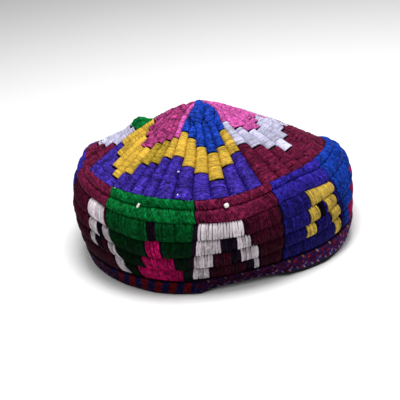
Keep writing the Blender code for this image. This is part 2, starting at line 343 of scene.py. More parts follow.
def wall(angles, levels):
    """Radius and height of the band's outer surface at levels from 0, the rim, to 1, the edge."""
    edge_radius, edge_height, rim_radius, swell, skew, roll = station_columns(angles)
    bulge = swell * np.sin(pi * levels ** skew)
    power = ROLL_CREST / (1.0 - ROLL_CREST)
    rise = roll * (levels / ROLL_CREST) ** power * (1.0 - levels) / (1.0 - ROLL_CREST)
    return rim_radius + (edge_radius - rim_radius) * levels + bulge, edge_height * levels + rise


# Plump and slack spots, by their plan angle, their place (a wall level or a crown run) and height
# in millimetres
Bump = namedtuple("Bump", "angle spread place reach height")
BAND_BUMPS = (Bump(158.0, 10.0, 0.96, 0.07, 1.4), Bump(27.0, 14.0, 0.94, 0.12, -3.3))
CROWN_BUMPS = {
    "left": (Bump(179.0, 9.0, 0.53, 0.085, 5.0),),
    "right": (Bump(25.0, 18.0, 0.98, 0.15, -2.4),),
    "back": (Bump(25.0, 18.0, 0.98, 0.15, -2.4),),
    "front": (),
}


def bump_lifts(bumps, angles, places):
    """How far the bumps raise these places."""
    lifts = 0.0
    for bump in bumps:
        aside = (np.mod(angles - bump.angle + 180.0, 360.0) - 180.0) / bump.spread
        along = (places - bump.place) / bump.reach
        lifts = lifts + bump.height * np.exp(-aside ** 2 - along ** 2)
    return lifts


def band_spots(angles, levels, depths):
    """Points at depths square to the band's outer surface."""
    depths = depths - bump_lifts(BAND_BUMPS, angles, levels)
    radii, heights = wall(angles, levels)
    next_radii, next_heights = wall(angles, levels + 0.01)
    out, up = next_radii - radii, next_heights - heights
    length = np.hypot(out, up)
    return spots(angles, radii - depths * up / length, heights + depths * out / length)


# The rim is not quite flat. At these plan angles it lifts off, turns out, and shows so much of
# its binding below the braid, in millimetres.
RIM_ANGLES = (190, 222, 236, 246, 255, 261, 266, 275, 284, 292, 298, 305, 315, 323, 331, 341, 352,
              372, 550)
RIM_LIFTS = (0, 0, 0, 0, 0, 0, 1.9, 3.4, 3.7, 2.4, 1.0, 0, 0, 0, 0, 0, 0, 0, 0)
RIM_OUTS = (0, 0, 0.6, 2.0, 2.6, 3.0, 0.8, 0, 0, 0.6, 2.8, 3.2, 3.0, 0.6, -1.2, -2.8, -3.0, 0, 0)
RIM_FEET = (2.2, 1.8, 1.3, 1.3, 1.3, 1.3, 1.3, 1.3, 1.5, 2.1, 2.6, 3.1, 3.4, 3.2, 2.9, 2.6, 2.3,
            2.2, 2.2)
RIM_REACH = 12.0


def around_rim(angles, values, stops=RIM_ANGLES):
    """A value of a table at each plan angle, by the angles where it is given."""
    return np.interp(np.mod(angles - stops[0], 360.0) + stops[0], stops, values)


def hem_spots(angles, heights, depths):
    """Points near the rim by their height, at level depths behind the outer surface."""
    near = np.clip(1.0 - heights / RIM_REACH, 0.0, 1.0)
    heights = heights + around_rim(angles, RIM_LIFTS) * near
    radii, _ = wall(angles, heights / station_columns(angles)[1])
    return spots(angles, radii - depths + around_rim(angles, RIM_OUTS) * near, heights)


def join_spots(angles, depths, side):
    """Points of the leaning strip where crown and band meet; side is +1 for the crown."""
    edge_radius, edge_height = station_columns(angles)[:2]
    half_gap = 0.06 * side
    radii = edge_radius + JOIN_RADIAL * depths + JOIN_UPWARD * half_gap
    return spots(angles, radii, edge_height + JOIN_UPWARD * depths - JOIN_RADIAL * half_gap)


def crown_spots(angles, runs, depths, lifts):
    """Points of the crown at runs from 0, the apex, to 1, the edge, at depths square to it."""
    edge_radius, edge_height = station_columns(angles)[:2]
    turns = np.radians(angles)
    out_x = edge_radius * np.cos(turns) - APEX_X
    out_y = edge_radius * np.sin(turns) - APEX_Y
    reach = np.hypot(out_x, out_y)
    rise = APEX_HEIGHT - edge_height
    fall = rise * CROWN_CURVE * runs ** (CROWN_CURVE - 1.0)
    length = np.hypot(reach, fall)
    inward = depths * fall / length / reach
    slope = np.hypot(runs, ROUND_TIP) ** CROWN_CURVE
    heights = APEX_HEIGHT - rise * slope + lifts - depths * reach / length
    return np.stack((
        PLAN_X + APEX_X + out_x * (runs - inward),
        PLAN_Y + APEX_Y + out_y * (runs - inward),
        heights,
    ), axis=-1) * MM


def wedge_angles(wedge, shares, runs):
    """Plan angles at shares across a wedge, following its bent seams."""
    low = np.interp(runs, SEAM_RUNS, CROWN_SEAMS[wedge.low])
    high = np.interp(runs, SEAM_RUNS, CROWN_SEAMS[wedge.high])
    return low + (high - low) * shares


# The left ridge stands up as a fold near the apex, and the gore behind it sinks
FOLD_END, FOLD_RISE, FOLD_WIDTH = 0.5, 1.5, 22.0
SINK_DEPTH, SINK_WIDTH = 3.0, 8.0
SINK_START, SINK_REACH = 112.0, 30.0


def fold_lifts(wedge, angles, runs):
    """Rise and sink of the two gores beside the left ridge."""
    seam = np.interp(runs, SEAM_RUNS, CROWN_SEAMS["left"])
    around = np.mod(angles, 360.0)
    fold = np.sin(pi * np.clip(runs / FOLD_END, 0.0, 1.0))
    rise = FOLD_RISE * np.clip(1.0 - np.abs(around - seam) / FOLD_WIDTH, 0.0, 1.0) ** 2
    if wedge.gore == "left":
        fade = np.clip((around - SINK_START) / SINK_REACH, 0.0, 1.0)
        rise = rise - SINK_DEPTH * fade * (1.0 - np.exp(-np.abs(seam - around) / SINK_WIDTH))
    return rise * fold


def wedge_lifts(wedge, shares, runs):
    """How far a wedge rises at its ridge and its bumps."""
    seam = CROWN_SEAMS[wedge.low if wedge.ridge == "low" else wedge.high]
    angles = wedge_angles(wedge, shares, runs)
    offset = np.abs(angles - np.interp(runs, SEAM_RUNS, seam))
    lifts = RIDGE_LIFT * np.clip(1.0 - offset / RIDGE_HALF_WIDTH, 0.0, 1.0) ** 2 * np.sin(pi * runs)
    if wedge.gore == "left" or wedge.low == "left":
        lifts = lifts + fold_lifts(wedge, angles, runs)
    return lifts + bump_lifts(CROWN_BUMPS[wedge.gore], angles, runs)


def wedge_spots(wedge, shares, runs, depths):
    """Points of a wedge at shares across it."""
    return crown_spots(
        wedge_angles(wedge, shares, runs), runs, depths, wedge_lifts(wedge, shares, runs))


def cord_heights(runs):
    """Cords flatten towards the apex, where the channels narrow."""
    return CORD_HEIGHT_AT_APEX + (CORD_HEIGHT - CORD_HEIGHT_AT_APEX) * runs


def panel_angles(panel, across, rows):
    """Plan angles at places across a band panel, between its wandering seams."""
    low = np.interp(rows, SEAM_ROWS, BAND_SEAMS[panel][::-1])
    high = np.interp(rows, SEAM_ROWS, BAND_SEAMS[panel + 1][::-1])
    return low + (high - low) * across


def row_levels(angles, rows):
    """Wall levels of places in the rows, counted from 0 at the hem to 6 at the edge."""
    angles, rows = np.broadcast_arrays(angles, rows)
    edges = np.stack([around_rim(angles, edge, ROW_ANGLES) for edge in ROW_EDGES])
    below = np.clip(np.floor(rows), 0, ROWS - 1).astype(int)
    low = np.take_along_axis(edges, below[None], 0)[0]
    high = np.take_along_axis(edges, below[None] + 1, 0)[0]
    hem_levels = HEM_TOP / station_columns(angles)[1]
    return hem_levels + (TOP_LEVEL - hem_levels) * (low + (high - low) * (rows - below))


def hem_tops(angles):
    """Heights in millimetres where the lowest row of stitches ends."""
    return row_levels(angles, 0.0) * station_columns(angles)[1]


# ---- Meshes ----

SKIN_MERGE = 0.000001
SHARP_SKIN, SHARP_THREAD = 50, 70


def lay_skin(name, columns, rows, place, flat, materials, inner_rows=()):
    """A closed skin: a grid whose corners go where place says, with a flat map in millimetres."""
    mesh = bmesh.new()
    bmesh.ops.create_grid(mesh, x_segments=columns, y_segments=rows, size=0.5)
    cells = np.array([
        (round((corner.co.x + 0.5) * columns), round((corner.co.y + 0.5) * rows))
        for corner in mesh.verts])
    points = place(cells[:, 0], cells[:, 1])
    lie = mesh.loops.layers.uv.new("flat")
    for face in mesh.faces:
        lowest = min(cells[corner.index][1] for corner in face.verts)
        face.material_index = 1 if lowest in inner_rows else 0
        for loop in face.loops:
            loop[lie].uv = flat(*cells[loop.vert.index])
    for corner, point in zip(mesh.verts, points):
        corner.co = point
    bmesh.ops.remove_doubles(mesh, verts=mesh.verts, dist=SKIN_MERGE)
    open_edges = [edge for edge in mesh.edges if edge.is_boundary]
    if open_edges:
        bmesh.ops.holes_fill(mesh, edges=open_edges, sides=0)
    bmesh.ops.recalc_face_normals(mesh, faces=mesh.faces)
    return finish_piece(name, mesh_data(name, mesh), materials)


def mesh_data(name, mesh):
    """Mesh data made from a finished bmesh, which is let go."""
    data = bpy.data.meshes.new(name)
    mesh.to_mesh(data)
    mesh.free()
    return data


def finish_piece(name, data, materials, sharp=SHARP_SKIN):
    """Smooth a mesh, give it its materials and link it as a piece that rides on the cap."""
    data.shade_smooth()
    data.set_sharp_from_angle(angle=radians(sharp))
    for material in materials:
        data.materials.append(material)
    piece = bpy.data.objects.new(name, data)
    bpy.context.scene.collection.objects.link(piece)
    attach(piece, "root")
    return piece


class ThreadShape:
    """One straight thread, whose copies are bent along their own stitches."""

    def __init__(self, sides, spans):
        mesh = bmesh.new()
        bmesh.ops.create_cone(
            mesh, cap_ends=True, segments=sides, radius1=1.0, radius2=1.0, depth=1.0)
        lengthwise = [edge for edge in mesh.edges
                      if abs(edge.verts[0].co.z - edge.verts[1].co.z) > 0.5]
        bmesh.ops.subdivide_edges(mesh, edges=lengthwise, cuts=spans - 1)
        mesh.verts.index_update()
        corners = np.array([corner.co[:] for corner in mesh.verts])
        self.aside = corners[:, 0]
        self.above = corners[:, 1]
        self.along = corners[:, 2] + 0.5
        self.faces = [[corner.index for corner in face.verts] for face in mesh.faces]
        mesh.free()
        self.arch = np.sin(pi * self.along)
        self.across = 0.5 - 0.5 * np.cos(pi * self.along)
        self.fullness = 0.55 + 0.45 * self.arch ** 0.5


def lay_threads(name, shape, laid, material):
    """Join batches of bent threads, each its points, dyes and lies, into one piece."""
    points, tones, lies = (np.concatenate(part) for part in zip(*laid))
    count, size = points.shape[:2]
    faces = [[corner + size * copy for corner in face]
             for copy in range(count) for face in shape.faces]
    data = bpy.data.meshes.new(name)
    data.from_pydata(points.reshape(-1, 3), [], faces)
    dye = data.color_attributes.new("dye", "FLOAT_COLOR", "POINT")
    colours = np.ones((count, size, 4))
    colours[:, :, :3] = tones[:, None, :]
    dye.data.foreach_set("color", colours.ravel())
    lie = data.attributes.new("lie", "FLOAT_VECTOR", "POINT")
    lie.data.foreach_set("vector", lies.ravel())
    data.update()
    return finish_piece(name, data, (material,), SHARP_THREAD)


def thread_lies(shape, count, width, length, rng):
    """Millimetres across and along each thread, and a number of its own."""
    lies = np.empty((count, len(shape.along), 3))
    lies[:, :, 0] = shape.aside * width * 0.5 / MM
    lies[:, :, 1] = shape.along * length
    lies[:, :, 2] = rng.uniform(0.0, 50.0, count)[:, None]
    return lies


def uneven(count, rng):
    """Small differences of hand: threads drawn in twos and threes lie, tilt and shade together."""
    bundle = np.cumsum(rng.random(count) < 0.42)
    shared = rng.normal(size=(bundle[-1] + 1, 3)) if count else np.zeros((1, 3))
    own = rng.normal(size=(count, 3))
    return shared[bundle] * 0.75 + own * 0.4


def wobble(shape, count, rng):
    """A slow sideways wave along each thread, from -1 to 1 and nothing at its ends."""
    phases = rng.uniform(0.0, 2.0 * pi, count)[:, None]
    return np.sin(phases + 2.0 * pi * shape.along) * shape.arch


def dyed(colours, codes, swings):
    """Dye of each thread in linear colour, lighter or darker with the hand."""
    table = np.array([getattr(colours, DYE_NAMES.get(code, code)) for code in codes])
    return table * np.exp(0.16 * np.clip(swings, -2.0, 2.0))[:, None]


# ---- Materials ----


SOCKET_KINDS = {1: "NodeSocketFloat", 3: "NodeSocketVector", 4: "NodeSocketColor"}
GREY, ORIGIN = (0.5, 0.5, 0.5, 1.0), (0.0, 0.0, 0.0)
RELIEF_DEPTH = 0.0002


def make_group(name, **inputs):
    """A shader node group with named inputs, which puts out colour, roughness and normal."""
    group = bpy.data.node_groups.new(name, "ShaderNodeTree")
    for label, default in inputs.items():
        kind = SOCKET_KINDS[np.size(default)]
        group.interface.new_socket(label, in_out="INPUT", socket_type=kind).default_value = default
    for label, size in (("Color", 4), ("Roughness", 1), ("Normal", 3)):
        group.interface.new_socket(label, in_out="OUTPUT", socket_type=SOCKET_KINDS[size])
    return group, group.nodes.new("NodeGroupInput").outputs, group.nodes.new("NodeGroupOutput")


def add_node(tree, kind, settings=(), **inputs):
    """A node with its settings, and its sockets set or linked by name."""
    node = tree.nodes.new(kind)
    for label, value in dict(settings).items():
        setattr(node, label, value)
    for label, value in inputs.items():
        key = label.replace("_", " ")
        socket = node.inputs[int(key[1:])] if key[0] == "n" and key[1:].isdigit() else node.inputs[key]
        if isinstance(value, bpy.types.NodeSocket):
            tree.links.new(value, socket)
        else:
            socket.default_value = value
    return node


def math_node(tree, operation, first, second=0.0, third=0.0):
    """The result of one sum."""
    return add_node(tree, "ShaderNodeMath", {"operation": operation}, n0=first, n1=second,
                    n2=third).outputs[0]


def noise_node(tree, place, scale, detail=2.0, roughness=0.6):
    """Noise in a place, from nought to one."""
    return add_node(tree, "ShaderNodeTexNoise", {}, Vector=place, Scale=scale, Detail=detail,
                    Roughness=roughness).outputs["Fac"]


def wave_node(tree, value, turn):
    """Ridges and furrows across a value."""
    return math_node(tree, "ABSOLUTE", math_node(
        tree, "SINE", math_node(tree, "MULTIPLY", value, turn)))


def scale_node(tree, vector, factor):
    """A vector or a colour times a factor."""
    return add_node(tree, "ShaderNodeVectorMath", {"operation": "SCALE"}, n0=vector,
                    Scale=factor).outputs[0]


def object_place(tree):
    """Place on the piece in metres."""
    return add_node(tree, "ShaderNodeTexCoord").outputs["Object"]


def ramp_node(tree, value, low, high, start, end):
    """A value carried from one range to another and held within it."""
    return add_node(tree, "ShaderNodeMapRange", {}, Value=value, From_Min=low, From_Max=high,
                    To_Min=start, To_Max=end).outputs["Result"]


def put_out(tree, result, colour, rough, strength, height):
    """Feed a group's outputs, with a low relief from a height."""
    bump = add_node(tree, "ShaderNodeBump", {}, Strength=strength, Distance=RELIEF_DEPTH,
                    Height=height).outputs["Normal"]
    for label, value in (("Color", colour), ("Roughness", rough), ("Normal", bump)):
        tree.links.new(value, result.inputs[label])


def strand_group():
    """Fine strands lengthwise in a thread: streaked dye, painted highlights and shade, sheen changes
    and a low relief.
    """
    tree, given, result = make_group(
        "floss_strands", Dye=GREY, Lie=ORIGIN, Strands=5.0, Twist=0.4, Streak=0.3, Relief=0.5,
        Gleam=2.0, Place=ORIGIN)
    parts = add_node(tree, "ShaderNodeSeparateXYZ", {}, Vector=given["Lie"]).outputs
    turned = math_node(tree, "MULTIPLY_ADD", parts["Y"], given["Twist"], parts["X"])
    across = math_node(tree, "MULTIPLY", turned, given["Strands"])
    along = math_node(tree, "MULTIPLY", parts["Y"], 0.35)
    place = add_node(tree, "ShaderNodeCombineXYZ", {}, X=across, Y=along, Z=parts["Z"]).outputs[0]
    streaks = noise_node(tree, place, 1.0)
    relief = math_node(tree, "MULTIPLY_ADD", wave_node(tree, across, pi * 0.5), 0.5, streaks)
    fibre = ramp_node(tree, streaks, 0.3, 0.7, math_node(tree, "SUBTRACT", 1.0, given["Streak"]),
                      math_node(tree, "ADD", 1.0, given["Streak"]))
    # Noise patches, partly the yarn's own mottling and partly painted light and shade, brighten and
    # darken the dye, and small flecks brighten it as painted highlights; dark dyes get more of both
    # than pale ones
    glints = noise_node(tree, given["Place"], 480.0, 3.0)
    pale = add_node(tree, "ShaderNodeRGBToBW", {}, Color=given["Dye"]).outputs[0]
    depth = ramp_node(tree, pale, 0.1, 0.4, 0.55, 0.12)
    patch = ramp_node(tree, glints, 0.36, 0.66, math_node(tree, "SUBTRACT", 1.0, depth),
                      math_node(tree, "MULTIPLY_ADD", depth, 1.1, 1.0))
    fleck = ramp_node(tree, noise_node(tree, given["Lie"], 1.1, 1.0), 0.60, 0.72, 0.0, 1.0)
    gleam = math_node(tree, "MULTIPLY_ADD", math_node(tree, "MULTIPLY", fleck, depth),
                      given["Gleam"], 1.0)
    shade = math_node(tree, "MULTIPLY", math_node(tree, "MULTIPLY", fibre, patch), gleam)
    put_out(tree, result, scale_node(tree, given["Dye"], shade),
            ramp_node(tree, glints, 0.35, 0.65, 0.55, 0.34), given["Relief"], relief)
    return tree


def weave_group():
    """Plain weave from a flat map in millimetres: over and under threads, slubs and worn spots."""
    tree, given, result = make_group(
        "plain_weave", Cloth=GREY, Flat=ORIGIN, Threads=2.0, Relief=0.6)
    grid = scale_node(tree, given["Flat"], given["Threads"])
    parts = add_node(tree, "ShaderNodeSeparateXYZ", {}, Vector=grid).outputs
    over = add_node(tree, "ShaderNodeTexChecker", {}, Vector=grid, Scale=1.0,
                    Color1=(1.0, 1.0, 1.0, 1.0), Color2=(0.0, 0.0, 0.0, 1.0)).outputs["Fac"]
    height = add_node(
        tree, "ShaderNodeMix", {"data_type": "FLOAT"}, n0=over,
        n2=wave_node(tree, parts["X"], pi), n3=wave_node(tree, parts["Y"], pi)).outputs[0]
    slub = noise_node(tree, given["Flat"], 0.35, 5.0, 0.65)
    wear = ramp_node(tree, slub, 0.3, 0.7, 0.7, 1.35)
    # Worn spots from the slubs, and painted shade: the weave's low threads darker, its high ones a
    # little lighter
    shade = math_node(tree, "MULTIPLY", wear, ramp_node(tree, height, 0.0, 1.0, 0.55, 1.1))
    put_out(tree, result, scale_node(tree, given["Cloth"], shade),
            ramp_node(tree, slub, 0.3, 0.7, 0.72, 0.9), given["Relief"], height)
    return tree


def cloud_over(tree, shader, scale, detail, dark, light, rough):
    """Let a surface drift between two tints and two roughnesses."""
    cloud = noise_node(tree, object_place(tree), scale, detail, 0.5)
    tint = add_node(tree, "ShaderNodeMix", {"data_type": "RGBA"}, n0=cloud, n6=dark, n7=light)
    tree.links.new(tint.outputs[2], shader.inputs["Base Color"])
    tree.links.new(ramp_node(tree, cloud, 0.3, 0.7, *rough), shader.inputs["Roughness"])


def new_material(name, **constants):
    """A material whose shader has its constants set on its own sockets."""
    material = bpy.data.materials.new(name)
    material.use_nodes = True
    shader = material.node_tree.nodes["Principled BSDF"]
    for label, value in constants.items():
        shader.inputs[label.replace("_", " ")].default_value = value
    return material, material.node_tree, shader


def wire_up(tree, source, shader):
    """Feed a group's colour, roughness and normal to the shader."""
    for group_output, shader_input in (
            ("Color", "Base Color"), ("Roughness", "Roughness"), ("Normal", "Normal")):
        tree.links.new(source.outputs[group_output], shader.inputs[shader_input])


def shared_group(name, maker):
    """A node group, built the first time that it is asked for."""
    return bpy.data.node_groups.get(name) or maker()


def yarn_material(name, strands, twist, streak, relief, gleam, **constants):
    """Dyed yarn that reads its colour and its lie from the threads."""
    found = bpy.data.materials.get(name)
    if found:
        return found
    material, tree, shader = new_material(name, **constants)
    dye = add_node(tree, "ShaderNodeAttribute", {"attribute_name": "dye"}).outputs["Color"]
    lie = add_node(tree, "ShaderNodeAttribute", {"attribute_name": "lie"}).outputs["Vector"]
    group = shared_group("floss_strands", strand_group)
    wire_up(tree, add_node(tree, "ShaderNodeGroup", {"node_tree": group}, Dye=dye, Lie=lie,
                           Strands=strands, Twist=twist, Streak=streak, Relief=relief,
                           Gleam=gleam, Place=object_place(tree)), shader)
    return material


def floss_material():
    """Shiny satin floss, barely twisted."""
    # Its shine is mostly painted highlights in the dye colour; the shader's own specular is weak
    return yarn_material(
        "satin_floss", 4.5, 0.25, 0.35, 0.8, 2.2,
        Sheen_Weight=0.0, Specular_IOR_Level=0.03)


def braid_material():
    """Twisted wool of the braid, duller than the floss."""
    return yarn_material(
        "braid_wool", 5.0, 0.9, 0.35, 0.8, 1.5,
        Sheen_Weight=0.0, Specular_IOR_Level=0.02)


def sewing_material():
    """Cotton sewing thread with a firm twist."""
    return yarn_material(
        "sewing_cotton", 6.0, 1.6, 0.3, 0.8, 0.1,
        Sheen_Weight=0.1, Sheen_Roughness=0.5, Specular_IOR_Level=0.4)


def cloth_material(name, colour, threads, relief, **constants):
    """Plain woven cloth on the piece's own flat map."""
    found = bpy.data.materials.get(name)
    if found:
        return found
    material, tree, shader = new_material(name, **constants)
    flat = add_node(tree, "ShaderNodeUVMap", {"uv_map": "flat"}).outputs["UV"]
    group = shared_group("plain_weave", weave_group)
    wire_up(tree, add_node(tree, "ShaderNodeGroup", {"node_tree": group}, Flat=flat,
                           Cloth=(*colour, 1.0), Threads=threads, Relief=relief), shader)
    return material


def ground_and_lining(colours):
    """The dark cotton under the stitches and the smooth cotton of the lining."""
    return (
        cloth_material("ground_cotton", colours.ground, 1.6, 0.7,
                       Specular_IOR_Level=0.05, Sheen_Weight=0.0),
        cloth_material("lining_cotton", colours.lining, 1.8, 0.6,
                       Specular_IOR_Level=0.25, Sheen_Weight=0.15),
    )


# ---- Pieces ----

UNDER_FLOSS = 1.35
FLOSS_SINK = 0.95
QUILT_DIP = 0.45
EDGE_RUN = 0.998
FIRST_RUN = 0.035
GORE_STEPS = 6
OUTER_RUNS = tuple(np.linspace(1.0, 0.012, 30))
LINING_RUNS = tuple(np.linspace(0.05, 0.95, 16))
RING_COLUMNS = 360
BAND_STEPS = 6
BAND_LINING = tuple(np.linspace(0.96, 0.16, 14))
# Hidden edges of the skins, in millimetres: their lowest height, depth at the hem and at the join
HEM_FOOT, HEM_DEPTH, LINING_HEM, JOIN_TUCK = 1.3, 1.75, 7.4, 1.3
WEDGE_INSET, LAST_RUN = 0.002, 0.012
# Millimetres of cloth from one column of a ring to the next, on its flat map
FLAT_COLUMN = 1.57


def ring_angles(columns):
    """Plan angles of the columns of a piece that goes all round."""
    return 360.0 * (columns % RING_COLUMNS) / RING_COLUMNS


def round_back(parts):
    """Height of a cord's round back, from 0 at its grooves to 1 at its crest."""
    return np.sqrt(np.clip(1.0 - (2.0 * parts - 1.0) ** 2, 0.0, 1.0))


def quilted_gore(gore, materials):
    """Ground cloth over the cords of one gore, closed by its lining."""
    low, high = (wedge for wedge in WEDGES if wedge.gore == gore)
    first, second = len(low.outer) * GORE_STEPS, len(high.outer) * GORE_STEPS
    outer, inner = len(OUTER_RUNS), len(LINING_RUNS)
    rows = outer + inner + 3

    def place(columns, levels):
        levels = levels % rows
        points = np.empty((len(columns), 3))
        for wedge, here, start, steps in (
                (low, columns <= first, 0, first), (high, columns > first, first, second)):
            column, level = columns[here], levels[here]
            share = np.clip((column - start) / steps, WEDGE_INSET, 1.0 - WEDGE_INSET)
            roundness = round_back((column - start) % GORE_STEPS / GORE_STEPS)
            runs = np.array((1.0,) + OUTER_RUNS + (LAST_RUN,) + LINING_RUNS + (1.0,))[level]
            outside = cord_heights(runs) * (1.0 - roundness) + UNDER_FLOSS
            inside = LINING_DEPTH + QUILT_DIP * roundness * np.sin(pi * runs) ** 0.5
            depths = np.where(level <= outer, outside, inside)
            found = wedge_spots(wedge, share, runs, depths)
            angles = wedge_angles(wedge, share, 1.0)
            foot = level == 0
            found[foot] = join_spots(angles[foot], JOIN_TUCK + UNDER_FLOSS, 1)
            back = level == rows - 1
            found[back] = join_spots(angles[back], LINING_DEPTH, 1)
            # Where the edge has sunk, the lining sinks with the stitches
            found[back, 2] += MM * np.minimum(
                bump_lifts(CROWN_BUMPS[gore], angles[back], 1.0), 0.0)
            points[here] = found
        return points

    def flat(column, row):
        return column * 1.2, row * 2.8

    piece = lay_skin(
        f"quilted_gore_{gore}", first + second, rows, place, flat, materials,
        range(outer + 1, rows - 1))
    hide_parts(f"crown_gore_{gore}")
    return piece


OPENING = 0.15
LEAST_STITCH = 1.6
STRIP_RISE = 0.13
LEAST_RISE, MOST_RISE = 0.35, 1.25


def channel_edges(wedge, runs):
    """Shares of the wedge where its channels part at each run, as late ones open out."""
    opened = np.clip((runs[:, None] - np.array(wedge.starts)) / OPENING, 0.0, 1.0)
    opened = opened * opened * (3.0 - 2.0 * opened)
    sums = np.cumsum(opened, axis=1)
    return np.hstack((np.zeros((len(runs), 1)), sums)) / sums[:, -1:]


def crown_strips(wedge, gap):
    """Strips of one dye: their channel, the runs where they start and end, and the dye."""
    strips = []
    for channel, inner_end in enumerate(wedge.inner_ends):
        stripe_end = wedge.stripe_ends[channel]
        strips.append((channel, FIRST_RUN, inner_end, wedge.inner[channel]))
        strips.append((channel, inner_end + gap, stripe_end, wedge.stripe[channel]))
        strips.append((channel, stripe_end + gap, EDGE_RUN, wedge.outer[channel]))
    return strips


# How the hand lays a thread on the crown: its slant and bow as runs, and how far the place, the
# slant, the height and the wave of the threads differ
CROWN_SLANT, CROWN_BOW, CROWN_LIE = 0.004, 0.008, 9.0
RUN_VARIES, SLANT_VARIES, LIFT_VARIES, CROWN_WAVE = 0.10, 0.010, 0.2, 0.3
# Stitches reach a little past their channel or row, dip beside the cord and end near the edge
CHANNEL_OVERLAP, ROW_OVERLAP, CORD_DIP = 1.03, 1.05, 0.5
TOP_RUN = 1.006


def gore_floss(gore, sizes, colours):
    """Satin stitches laid across each cord channel of one gore, in the chart's colours."""
    shape = ThreadShape(6, 7)
    rng = np.random.default_rng(sizes.seed + GORES.index(gore))
    laid = []
    pitch = sizes.pitch / MM / REACH
    half_width = 0.5 * sizes.thread_width / MM / REACH
    half_height = 0.5 * sizes.thread_height / MM
    for wedge in (wedge for wedge in WEDGES if wedge.gore == gore):
        for channel, start, end, code in crown_strips(wedge, sizes.colour_gap / MM / REACH):
            yarn = YARN_SHARES["u"] if code == "u" else 1.0
            calm, full = (CALM, FULL_YARN) if code in LIGHT_DYES else (DARK_CALM, DARK_FULL)
            count = max(1, round((end - start) / pitch / yarn))
            run = start + (end - start) * (np.arange(count) + 0.5) / count
            edges = channel_edges(wedge, run)[:, channel:channel + 2]
            span = wedge_angles(wedge, edges[:, 1], run) - wedge_angles(wedge, edges[:, 0], run)
            length = np.radians(span) * REACH * run
            kept = length > LEAST_STITCH
            run, edges, length = run[kept], edges[kept], length[kept]
            count = len(run)
            hand = uneven(count, rng)
            run = run + hand[:, 0] * RUN_VARIES * pitch * calm
            middle = edges.mean(axis=1)[:, None]
            breadth = (edges[:, 1] - edges[:, 0])[:, None]
            rise = np.clip(length * STRIP_RISE, LEAST_RISE, MOST_RISE)
            slant = (CROWN_SLANT + SLANT_VARIES * calm * hand[:, 1])[:, None]
            lift = (rise + LIFT_VARIES * calm * hand[:, 2])[:, None]
            runs = run[:, None] + slant * (shape.across - 0.5) + CROWN_BOW * shape.arch
            runs = runs + wobble(shape, count, rng) * CROWN_WAVE * calm / REACH
            girth = half_width * yarn * full
            runs = np.clip(runs - shape.aside * girth * shape.fullness, LAST_RUN, TOP_RUN)
            shares = np.clip(middle + (shape.across - 0.5) * breadth * CHANNEL_OVERLAP, 0.0, 1.0)
            depths = FLOSS_SINK + (cord_heights(runs) + CORD_DIP) * (1.0 - shape.arch)
            depths = depths - lift * shape.arch - shape.above * half_height * shape.fullness
            laid.append((
                wedge_spots(wedge, shares, runs, depths),
                dyed(colours, code * count, hand[:, 2] + hand[:, 0]),
                thread_lies(shape, count, sizes.thread_width, CROWN_LIE, rng)))
    if gore == "front":
        laid.append(apex_cover(shape, sizes, colours, rng))
    piece = lay_threads(f"crown_floss_{gore}", shape, laid, floss_material())
    return piece


COVER_FRONT, COVER_BACK = -7.0, 1.6
COVER_WIDTH = 7.6
APEX_FALL, APEX_REACH = 33.0, 80.0


def apex_cover(shape, sizes, colours, rng):
    """The blue strip that runs over the very top, where the wedges would come to a point."""
    count = round((COVER_BACK - COVER_FRONT) / (sizes.pitch / MM))
    hand = uneven(count, rng)
    rows = COVER_FRONT + (COVER_BACK - COVER_FRONT) * (np.arange(count) + 0.5) / count
    width = COVER_WIDTH * np.interp(rows, (COVER_FRONT, 0.0, COVER_BACK), (1.15, 1.0, 0.7))
    aside = (shape.across - 0.5) * width[:, None]
    forward = rows[:, None] - shape.aside * 0.5 * sizes.thread_width / MM * shape.fullness
    forward = forward - 0.5 * shape.arch + 0.15 * hand[:, 1][:, None]
    distance = np.hypot(np.hypot(aside, forward) / APEX_REACH, ROUND_TIP)
    fall = APEX_FALL * distance ** CROWN_CURVE + FLOSS_SINK
    heights = APEX_HEIGHT - fall - 1.3 * (1.0 - shape.arch) + 0.5 * shape.arch
    heights = heights + shape.above * 0.5 * sizes.thread_height / MM * shape.fullness
    points = np.stack((
        PLAN_X + APEX_X - aside, PLAN_Y + APEX_Y + forward, heights), axis=-1) * MM
    return (points, dyed(colours, "b" * count, hand[:, 2] + hand[:, 0]),
            thread_lies(shape, count, sizes.thread_width, 7.0, rng))


def quilted_band(materials):
    """Ground cloth over the six cords of the band, closed by its lining."""
    steps = np.arange(ROWS * BAND_STEPS + 1)
    places, roundness = steps / BAND_STEPS, round_back(steps % BAND_STEPS / BAND_STEPS)
    lining = np.array(BAND_LINING)
    outer = len(steps)
    rows = outer + len(lining) + 6

    def place(columns, levels):
        levels = levels % rows
        angles = ring_angles(columns)
        points = np.empty((len(columns), 3))
        for level, maker, first, second in (
                (0, hem_spots, HEM_FOOT, HEM_DEPTH),
                (1, hem_spots, HEM_TOP - 0.1, HEM_DEPTH),
                (outer + 2, join_spots, JOIN_TUCK + UNDER_FLOSS, -1),
                (outer + 3, join_spots, LINING_DEPTH, -1),
                (rows - 2, hem_spots, LINING_HEM, LINING_DEPTH),
                (rows - 1, hem_spots, HEM_FOOT, LINING_DEPTH)):
            here = levels == level
            points[here] = maker(angles[here], first, second)
        here = (levels >= 2) & (levels < outer + 2)
        which = levels[here] - 2
        depth = CORD_HEIGHT * (1.0 - roundness[which]) + UNDER_FLOSS
        points[here] = band_spots(angles[here], row_levels(angles[here], places[which]), depth)
        here = (levels >= outer + 4) & (levels < rows - 2)
        level = lining[levels[here] - outer - 4]
        dip = QUILT_DIP * np.abs(np.sin(pi * level * 6.0))
        points[here] = band_spots(angles[here], level, LINING_DEPTH + dip)
        return points

    def flat(column, row):
        return column * FLAT_COLUMN, row * 1.8

    piece = lay_skin(
        "quilted_band", RING_COLUMNS, rows, place, flat, materials,
        range(outer + 3, rows - 1))
    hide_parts("band")
    return piece


LEAST_SPAN = 0.02


